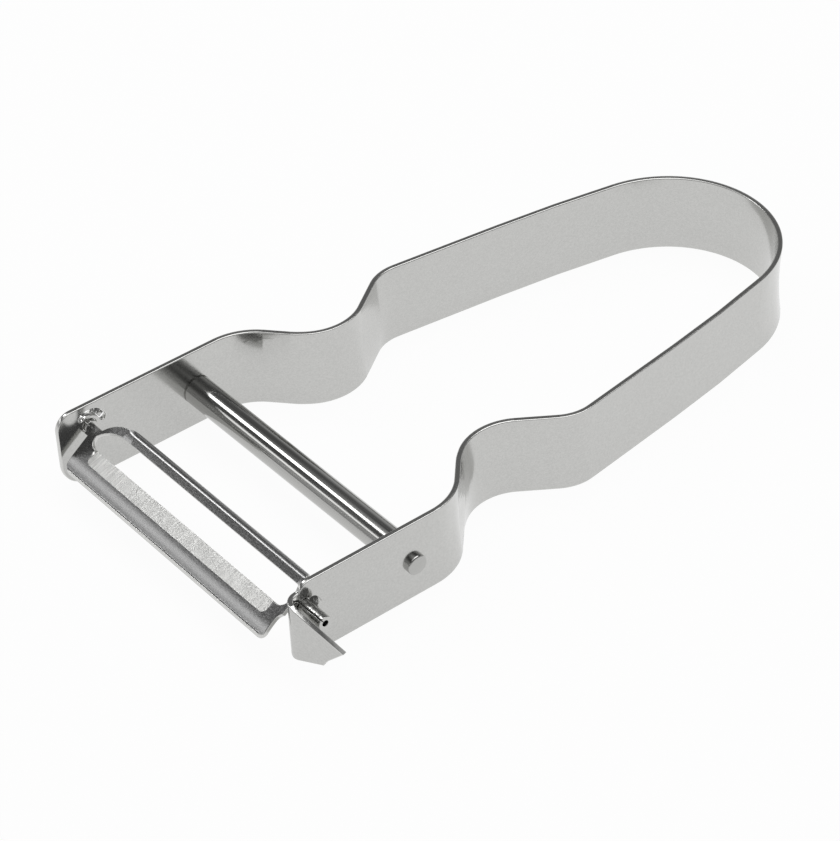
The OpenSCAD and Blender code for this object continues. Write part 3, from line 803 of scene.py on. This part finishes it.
def blade_outline(sizes, shape):
    """Outline of the flattened blade: X to the front, Y along the swivel axis, anticlockwise."""
    near_bar = shape.bar - sizes.bar_shift
    far_bar = -shape.bar - sizes.bar_shift
    lip_r, yoke_r, flare_r = sizes.lip_corner_r, sizes.yoke_r, sizes.flare_r
    out = shape.yoke - near_bar
    down = sqrt(flare_r**2 - (flare_r - out) ** 2)
    flare_c = (sizes.shoulder_w + down, near_bar + flare_r)
    rear_w = shape.rear_bar + sizes.yoke_back_w
    near_r = sizes.near_yoke_r
    near_c = (near_r - rear_w, shape.yoke - near_r)
    far_c = (yoke_r - rear_w, yoke_r - shape.yoke)
    neck_back = -acos((-sizes.neck_back_w - far_c[0]) / yoke_r)
    near_end = pi - asin((shape.near_flange - near_c[1]) / near_r)
    far_end = asin((far_c[1] - shape.far_flange) / yoke_r) - pi
    return [
        *arc((shape.front_l - lip_r, near_bar - lip_r), lip_r, 0.0, pi / 2),
        *arc(flare_c, flare_r, -pi / 2, -pi / 2 - asin(down / flare_r)),
        (sizes.neck_front_w, shape.yoke),
        (sizes.neck_front_w, shape.near_neck),
        (-sizes.neck_back_w, shape.near_neck),
        (-sizes.neck_back_w, shape.yoke),
        *arc(near_c, near_r, pi / 2, near_end),
        (-shape.rear_l, shape.near_flange - sizes.near_flange_run),
        (-shape.rear_l, shape.far_flange + sizes.flange_run),
        *arc(far_c, yoke_r, far_end, neck_back),
        (-sizes.neck_back_w, -shape.far_neck),
        (sizes.neck_front_w, -shape.far_neck),
        (sizes.neck_front_w, far_bar),
        *arc((shape.front_l - lip_r, far_bar + lip_r), lip_r, -pi / 2, 0.0),
    ]


def slot_outline(sizes, shape):
    """Outline of the blade's slot, clockwise as holes go."""
    front_r, rear_r, near_r = sizes.slot_front_r, sizes.slot_rear_r, sizes.slot_near_r
    side = shape.slot - front_r
    far_c = (rear_r - sizes.slot_back_w, sizes.slot_rear_l - shape.slot)
    around = [
        *arc((sizes.edge_w - front_r, side), front_r, 0.0, pi / 2),
        *arc((near_r - sizes.slot_back_w, shape.slot - near_r), near_r, pi / 2, pi),
        *arc(far_c, rear_r, -pi, asin(sizes.slot_rear_l / rear_r) - pi),
        *arc((sizes.edge_w - front_r, -side), front_r, -pi / 2, 0.0),
    ]
    return around[::-1]


def grind_bevel(blank, sizes, shape):
    """Grind the cutting edge into the flat blank, with a wheel that leaves rounded corners."""
    over = sizes.bevel_margin / 2
    corner_r = sizes.bevel_corner_r
    front = shape.bevel_end + over
    near, far = shape.bevel - sizes.bevel_shift, -shape.bevel - sizes.bevel_shift
    outline = [
        (sizes.edge_w - WHEEL_OVERRUN, far),
        *arc((front - corner_r, far + corner_r), corner_r, -pi / 2, 0.0),
        *arc((front - corner_r, near - corner_r), corner_r, 0.0, pi / 2),
        (sizes.edge_w - WHEEL_OVERRUN, near),
    ]
    bm = bmesh.new()
    low = [bm.verts.new((x, y, bevel_height(sizes, shape, x))) for x, y in outline]
    high = [bm.verts.new((x, y, sizes.sheet_t)) for x, y in outline]
    bm.faces.new(low[::-1])
    bm.faces.new(high)
    for i in range(len(outline)):
        bm.faces.new((low[i - 1], low[i], high[i], high[i - 1]))
    wheel = show("wheel", bpy.data.meshes.new("wheel"))
    bmesh.ops.recalc_face_normals(bm, faces=bm.faces)
    bm.to_mesh(wheel.data)
    bm.free()
    grind = blank.modifiers.new("Grind", "BOOLEAN")
    grind.operation = "DIFFERENCE"
    grind.solver = "EXACT"
    grind.object = wheel
    settle(blank)
    bpy.data.objects.remove(wheel)


def bevel_height(sizes, shape, x):
    """Height of the ground bevel at a distance before the swivel axis."""
    return sizes.edge_t - sizes.sheet_t / 2 + shape.slope * (x - sizes.edge_w)


def rolled_pin(sizes, x0, x1):
    """A pin rolled from the sheet: a tube along X with a seam on top and rounded ends."""
    rim = sizes.edge_r
    r0, r1 = sizes.pin_bore_r, sizes.pin_r
    section = [
        *arc((x1 - rim, r1 - rim), rim, 0.0, pi / 2),
        *arc((x0 + rim, r1 - rim), rim, pi / 2, pi),
        *arc((x0 + rim, r0 + rim), rim, pi, 1.5 * pi),
        *arc((x1 - rim, r0 + rim), rim, 1.5 * pi, tau),
    ]
    seam = asin(sizes.seam_w / 2 / sizes.pin_r)
    bm = bmesh.new()
    verts = [bm.verts.new((x, 0.0, r)) for x, r in section]
    face = bm.faces.new(verts)
    bmesh.ops.rotate(bm, verts=verts, cent=(0, 0, 0), matrix=Matrix.Rotation(seam, 3, "X"))
    spun = bmesh.ops.spin(
        bm,
        geom=[face],
        cent=(0, 0, 0),
        axis=(1, 0, 0),
        angle=tau - 2 * seam,
        steps=TURNED_SEGMENTS // 2,
        use_duplicate=False,
    )
    if not spun["geom_last"]:
        raise RuntimeError("the pin wasn't rolled")
    bmesh.ops.recalc_face_normals(bm, faces=bm.faces)
    for made in bm.faces:
        made.smooth = True
    mesh = bpy.data.meshes.new("pin")
    bm.to_mesh(mesh)
    bm.free()
    return mesh


def round_ear(sizes, shape):
    """Outline of the folded arm's ear: a round lug that keeps the pin in its bearing."""
    root = (sizes.pin_r + sizes.pin_bore_r) / 2
    round_r = sizes.ear_w / 2
    near = shape.near_ear
    tip = arc((round_r - sizes.ear_r, near + round_r), round_r, pi / 2, 1.5 * pi)
    return [(-root, near), (-root, near + sizes.ear_w), *tip]


def stop_ear(sizes, shape, handle):
    """Outline of the plain arm's ear, whose tab reaches back through the stop slot."""
    root = (sizes.pin_r + sizes.pin_bore_r) / 2
    slot_r = handle.hole_r + handle.stop_web
    inner = slot_r + sizes.tab_clear
    tip = slot_r + handle.stop_w - sizes.tab_clear
    out = -shape.far_ear - sizes.tab_ear_w
    tab_end = -shape.far_ear + sizes.ear_play + handle.strip_t
    return [
        (-root, out),
        (-root, -shape.far_ear),
        (-inner, -shape.far_ear),
        (-inner, tab_end),
        (-tip, tab_end),
        (-tip, out),
    ]


def joined(name, pieces):
    """One piece from several."""
    with bpy.context.temp_override(
        active_object=pieces[0], selected_editable_objects=pieces, selected_objects=pieces
    ):
        bpy.ops.object.join()
    pieces[0].name = name
    return pieces[0]


def press_sheet(sizes, shape, colours):
    """The blade's sheet: stamped, ground while it is flat, and bent along its section."""
    outline = blade_outline(sizes, shape)
    hole = slot_outline(sizes, shape)
    blank = flat_blank("blade", outline, [hole], sizes.sheet_t, sizes.edge_r)
    sheet = show("blade", blank)
    grind_bevel(sheet, sizes, shape)
    shares = [i / RUN_OUT_STEPS for i in range(RUN_OUT_STEPS + 1)]
    ends = [shape.near_flange - s * sizes.near_flange_run for s in shares]
    ends += [shape.far_flange + s * sizes.flange_run for s in shares]
    bends = [-s for s in travel(shape.rear)[1:-1]] + travel(shape.front)[1:-1]
    cut_across(sheet.data, bends, ends)

    def is_ground(face):
        middle = face.calc_center_median()
        off = abs(middle.z - bevel_height(sizes, shape, middle.x))
        return off < 2 * MERGE and BEVEL_NORMAL < face.normal.z < FLAT_NORMAL

    def slack(place):
        past = max(0.0, -shape.rear_bar - place.x)
        near = (shape.near_flange - place.y) / sizes.near_flange_run
        far = (place.y - shape.far_flange) / sizes.flange_run
        held = 1 - min(max(min(near, far), 0.0), 1.0)

        # Eased, so that the bend starts and stops running out without a crease
        return past * held * held * (3 - 2 * held)

    mark(sheet.data, is_ground, slack)

    # Front bar and lip lie before the axis, and the flange behind it
    section = [Vector((0, p.x, p.y)) for p in reversed(shape.rear)]
    section += [Vector((0, -p.x, p.y)) for p in shape.front[1:]]
    finishes = {
        "Face finish": dull_blade_steel(colours.blade),
        "Edge finish": tumbled_edge_steel(colours.edge),
        "Ground finish": ground_edge_steel(colours.ground),
    }
    path = [shape.turn @ p for p in section]
    bend_sheet(sheet, path, shape.rear_l, (1.0, 0.0, 0.0), finishes)
    smooth_by_area(sheet)
    return sheet


def roll_pins(sizes, shape, handle, colours):
    """The two rolled pins and their ears, as one piece."""
    near_pin = rolled_pin(sizes, shape.near_neck - sizes.ear_play, shape.near_end)
    far_pin = rolled_pin(sizes, -shape.far_end, sizes.ear_play - shape.far_neck)
    parts = [near_pin, far_pin]
    for ear in (round_ear(sizes, shape), stop_ear(sizes, shape, handle)):
        blank = flat_blank("ear", ear, [], sizes.sheet_t, sizes.edge_r)
        blank.transform(Matrix.Rotation(-pi / 2, 4, "Z"))
        parts.append(blank)
    for part in parts:
        part.shade_smooth()
    pins = joined("pins", [show("pins", part) for part in parts])
    pins.data.transform(shape.turn)
    pins.data.materials.append(burnished_pin_steel(colours.pin))
    smooth_by_area(pins)
    return pins


class PEELER_OT_swivel_blade(bpy.types.Operator):
    """Press, grind and roll the blade"""

    bl_idname = "peeler.swivel_blade"
    bl_label = "Swivel blade"

    def execute(self, context):
        sizes = context.scene.peeler_blade
        handle = context.scene.peeler_handle
        colours = context.scene.peeler_colours
        shape = BladeShape(sizes, handle)
        sheet = press_sheet(sizes, shape, colours)
        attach(sheet, "blade")
        pins = roll_pins(sizes, shape, handle, colours)
        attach(pins, "blade")
        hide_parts("swivel_blade")
        return {"FINISHED"}


def turned_profile(sizes, half_gap, arm_out):
    """Half of the crossbar's outline, from the middle of a head's face to the bar's middle."""
    end = arm_out + sizes.head_h
    head_r = sizes.neck_r + sizes.head_rim
    flat_r = head_r - sizes.head_edge_r
    face = []
    for i in range(HEAD_TURNS):
        part = i / HEAD_TURNS
        groove = sizes.head_groove * (i % 2)
        face.append((end - sizes.dome * part**2 - groove, flat_r * part))
    edge_c = (end - sizes.dome - sizes.head_edge_r, flat_r)
    return [
        *face,
        *arc(edge_c, sizes.head_edge_r, 0.0, pi / 2),
        (arm_out, head_r),
        (arm_out, sizes.neck_r),
        (half_gap, sizes.neck_r),
        (half_gap, sizes.bar_r - sizes.chamfer),
        (half_gap - sizes.chamfer, sizes.bar_r),
    ]


class PEELER_OT_crossbar(bpy.types.Operator):
    """Turn the crossbar and rivet its ends"""

    bl_idname = "peeler.crossbar"
    bl_label = "Crossbar"

    def execute(self, context):
        handle = context.scene.peeler_handle
        sizes = context.scene.peeler_crossbar
        colours = context.scene.peeler_colours
        half_gap = handle.arm_gap / 2
        half = turned_profile(sizes, half_gap, half_gap + handle.strip_t)
        profile = half + [(-x, r) for x, r in reversed(half)]
        bm = bmesh.new()
        verts = [bm.verts.new((x, 0.0, r)) for x, r in profile]
        edges = [bm.edges.new(pair) for pair in zip(verts, verts[1:])]
        bmesh.ops.spin(
            bm,
            geom=verts + edges,
            cent=(0, 0, 0),
            axis=(1, 0, 0),
            angle=tau,
            steps=TURNED_SEGMENTS,
        )
        bmesh.ops.remove_doubles(bm, verts=bm.verts, dist=MERGE)
        bmesh.ops.recalc_face_normals(bm, faces=bm.faces)
        mesh = bpy.data.meshes.new("crossbar")
        mesh.materials.append(polished_bar_steel(colours.bar))
        for face in bm.faces:
            face.smooth = True
        bm.to_mesh(mesh)
        bm.free()
        mesh.set_sharp_from_angle(angle=SHARP_TURN)
        bar = show("bar", mesh)
        shape = HandleShape(handle)
        mesh.transform(Matrix.Translation((0, shape.bar_y, sizes.bar_z)))
        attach(bar, "handle")
        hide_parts("crossbar")
        return {"FINISHED"}


def new_material(name, base, roughness=0.5, metallic=1.0):
    """A material with its Principled shader ready, and the shader."""
    material = bpy.data.materials.new(name)
    material.use_nodes = True
    shader = material.node_tree.nodes["Principled BSDF"]
    shader.inputs["Base Color"].default_value = base
    shader.inputs["Metallic"].default_value = metallic
    shader.inputs["Roughness"].default_value = roughness
    return material, shader


def lay_pattern(shader, sizes, on_blank=False, detail=2.0, roughness=None, shade=None, depth=None):
    """Lay soft marks over a finish, with the given sizes along the three axes of the object or
    of its flat blank. They may take the roughness from one value to another, the colour from
    one share of itself to another, and raise the surface by a depth."""
    tree = shader.id_data
    if on_blank:
        place = add(tree, "ShaderNodeAttribute", attribute_name="flat").outputs["Vector"]
    else:
        place = add(tree, "ShaderNodeTexCoord").outputs["Object"]
    scaled = {0: place, 1: [1 / size for size in sizes]}
    scaled = add(tree, "ShaderNodeVectorMath", scaled, operation="MULTIPLY").outputs[0]
    marks = {"Vector": scaled, "Scale": 1.0, "Detail": detail}
    marks = add(tree, "ShaderNodeTexNoise", marks).outputs[0]
    for name, ends in (("Roughness", roughness), ("Base Color", shade)):
        if not ends:
            continue
        socket = shader.inputs[name]
        level = {"Value": marks, "From Min": NOISE_RANGE[0], "From Max": NOISE_RANGE[1]}
        level |= {"To Min": ends[0], "To Max": ends[1]}
        level = add(tree, "ShaderNodeMapRange", level).outputs[0]
        if name == "Base Color":
            level = {0: tuple(socket.default_value)[:3], "Scale": level}
            level = add(tree, "ShaderNodeVectorMath", level, operation="SCALE").outputs[0]
        tree.links.new(level, socket)
    if depth:
        bump = {"Height": marks, "Distance": depth, "Strength": 1.0}
        bump = add(tree, "ShaderNodeBump", bump).outputs[0]
        tree.links.new(bump, shader.inputs["Normal"])


def satin_strip_steel(base):
    """Stainless strip, cold rolled and tumbled: a satin with a fine speckled grain, drawn out a
    little along the strip. The real grain is finer, and is drawn as coarse as the render needs
    to show it."""
    material, shader = new_material("satin_strip_steel", base)
    lay_pattern(shader, (25 * MM, 3 * MM, 1 * MM), on_blank=True, roughness=(0.13, 0.17))
    grain = (0.3 * MM, 0.25 * MM, 1 * MM)
    lay_pattern(shader, grain, on_blank=True, shade=(0.9, 1.0), depth=0.002 * MM)
    return material


def tumbled_edge_steel(base):
    """The slit edges of the sheet, rounded and brightened by tumbling, with small nicks left.
    Both sheet parts share the one finish."""
    made = bpy.data.materials.get("tumbled_edge_steel")
    if made:
        return made
    material, shader = new_material("tumbled_edge_steel", base, 0.2)
    lay_pattern(shader, [0.8 * MM] * 3, depth=0.02 * MM)
    return material


def dull_blade_steel(base):
    """Hardened blade steel, left as it came from the furnace: darker than the strip, and marked
    along its length by rolling. Its marks are drawn coarser than real, so that they show."""
    material, shader = new_material("dull_blade_steel", base)
    grain = (0.5 * MM, 0.22 * MM, 0.22 * MM)
    lay_pattern(shader, grain, roughness=(0.2, 0.28), shade=(0.8, 1.0), depth=0.006 * MM)
    return material


def burnished_pin_steel(base):
    """Rolled pins, burnished in their bearings: bright, and a little crumpled by the rolling."""
    material, shader = new_material("burnished_pin_steel", base, 0.16)
    lay_pattern(shader, [0.7 * MM] * 3, depth=0.08 * MM)
    return material


def ground_edge_steel(base):
    """The freshly ground cutting bevel: bright, with the wheel's fine lines across the edge."""
    material, shader = new_material("ground_edge_steel", base, 0.45)
    lines = (5 * MM, 0.08 * MM, 1 * MM)
    lay_pattern(shader, lines, on_blank=True, detail=4.0, shade=(0.6, 1.0), depth=0.05 * MM)
    return material


def polished_bar_steel(base):
    """A drawn and turned bar, polished bright: it shows its surroundings almost as a mirror
    does, with faint streaks along it."""
    material, shader = new_material("polished_bar_steel", base)
    lay_pattern(shader, (30 * MM, 0.5 * MM, 0.5 * MM), roughness=(0.07, 0.2))
    return material


def pale_floor(base):
    """A matt pale floor that shows as nearly white, and keeps a soft shadow. In the steel's
    reflections it glows with painted light, strong near the peeler and fading further out.
    """
    material, shader = new_material("pale_floor", base, 0.9, metallic=0.0)
    tree = material.node_tree
    rays = add(tree, "ShaderNodeLightPath").outputs
    place = add(tree, "ShaderNodeTexCoord").outputs["Object"]
    away = add(tree, "ShaderNodeVectorMath", {0: place}, operation="LENGTH").outputs["Value"]
    # Painted light: the glow that the steel mirrors fades from near the peeler to further out
    (near, near_share), (far, far_share) = FLOOR_MIRRORED
    falling = {"Value": away, "From Min": near, "From Max": far}
    falling |= {"To Min": near_share, "To Max": far_share}
    mirrored_glow = add(tree, "ShaderNodeMapRange", falling).outputs[0]
    mirrored_part = {0: rays["Is Glossy Ray"], 1: mirrored_glow}
    glossy = add(tree, "ShaderNodeMath", mirrored_part, operation="MULTIPLY").outputs[0]
    seen_part = {0: rays["Is Camera Ray"], 1: FLOOR_SEEN, 2: glossy}
    part = add(tree, "ShaderNodeMath", seen_part, operation="MULTIPLY_ADD").outputs[0]
    white = add(tree, "ShaderNodeEmission", {"Color": (1, 1, 1, 1), "Strength": 1.0}).outputs[0]
    mixed = add(tree, "ShaderNodeMixShader", {0: part, 1: shader.outputs[0], 2: white}).outputs[0]
    tree.links.new(mixed, tree.nodes["Material Output"].inputs["Surface"])
    return material


def area_light(name, watts, size, place):
    """A soft rectangular lamp that faces the peeler."""
    lamp = bpy.data.lights.new(name, "AREA")
    lamp.shape = "RECTANGLE"
    lamp.size, lamp.size_y = size
    lamp.energy = watts
    lamp_object = bpy.data.objects.new(name, lamp)
    bpy.context.scene.collection.objects.link(lamp_object)
    away = Vector(place) - Vector(AIM)
    turn = away.to_track_quat("Z", "Y").to_matrix().to_4x4()
    lamp_object.matrix_world = Matrix.Translation(place) @ turn


def studio_world(scene):
    """A plain studio: bright above, darker towards the horizon, white where the camera looks."""
    world = bpy.data.worlds.new("studio")
    world.use_nodes = True
    tree = world.node_tree
    background = tree.nodes["Background"]
    direction = add(tree, "ShaderNodeTexCoord").outputs["Generated"]
    height = add(tree, "ShaderNodeSeparateXYZ", {0: direction}).outputs[2]
    ramp = add(tree, "ShaderNodeValToRGB", {0: height})
    for position, _ in SKY[1:-1]:
        ramp.color_ramp.elements.new(position)
    for element, (position, grey) in zip(ramp.color_ramp.elements, SKY):
        element.position = position
        element.color = (grey, grey, grey, 1.0)
    seen = add(tree, "ShaderNodeLightPath").outputs["Is Camera Ray"]
    mix = add(
        tree,
        "ShaderNodeMix",
        {"Factor": seen, "A": ramp.outputs[0], "B": (1, 1, 1, 1)},
        data_type="RGBA",
    )
    tree.links.new(mix.outputs[2], background.inputs["Color"])
    scene.world = world


class PEELER_OT_stage(bpy.types.Operator):
    """Set the floor, the lights and the camera"""

    bl_idname = "peeler.stage"
    bl_label = "Stage"

    def execute(self, context):
        scene = context.scene
        settings = scene.peeler_stage
        bm = bmesh.new()
        bmesh.ops.create_grid(bm, x_segments=1, y_segments=1, size=FLOOR_REACH)
        mesh = bpy.data.meshes.new("floor")
        bm.to_mesh(mesh)
        bm.free()
        mesh.materials.append(pale_floor(settings.floor))
        floor = show("floor", mesh)

        for name, (size, place) in LIGHTS.items():
            area_light(name + "_light", getattr(settings, name + "_power"), size, place)
        studio_world(scene)

        lens = bpy.data.cameras.new("camera")
        lens.sensor_width = SENSOR_W / MM
        lens.lens = settings.focal / MM
        lens.clip_start = CLIP_START
        camera = bpy.data.objects.new("camera", lens)
        scene.collection.objects.link(camera)
        right, up = Vector(CAMERA_RIGHT), Vector(CAMERA_UP)
        turn = Matrix((right, up, right.cross(up))).transposed().to_4x4()
        camera.matrix_world = Matrix.Translation(CAMERA_PLACE) @ turn
        scene.camera = camera
        scene.view_settings.view_transform = "Standard"
        return {"FINISHED"}


class PEELER_PT_panel(bpy.types.Panel):
    """The peeler's sizes and steps"""

    bl_label = "Peeler"
    bl_idname = "PEELER_PT_panel"
    bl_space_type = "VIEW_3D"
    bl_region_type = "UI"
    bl_category = "Peeler"

    def draw(self, context):
        for operator in OPERATORS:
            self.layout.operator(operator.bl_idname)
        for name, group in GROUPS.items():
            box = self.layout.box()
            for field in group.__annotations__:
                box.prop(getattr(context.scene, name), field)


GROUPS = {
    "peeler_handle": HandleSizes,
    "peeler_blade": BladeSizes,
    "peeler_crossbar": CrossbarSizes,
    "peeler_colours": SteelColours,
    "peeler_stage": StageSettings,
}
OPERATORS = [
    PEELER_OT_stage,
    PEELER_OT_strap_handle,
    PEELER_OT_swivel_blade,
    PEELER_OT_crossbar,
]


def register():
    for group in GROUPS.values():
        bpy.utils.register_class(group)
    for operator in OPERATORS:
        bpy.utils.register_class(operator)
    bpy.utils.register_class(PEELER_PT_panel)
    for name, group in GROUPS.items():
        setattr(bpy.types.Scene, name, PointerProperty(type=group))


def unregister():
    for name in GROUPS:
        delattr(bpy.types.Scene, name)
    bpy.utils.unregister_class(PEELER_PT_panel)
    for made in [*OPERATORS, *GROUPS.values()]:
        bpy.utils.unregister_class(made)


def main():
    """Build the peeler on its stage."""
    register()
    bpy.ops.peeler.stage()
    bpy.ops.peeler.strap_handle()
    bpy.ops.peeler.swivel_blade()
    bpy.ops.peeler.crossbar()


if __name__ == "__main__":
    main()
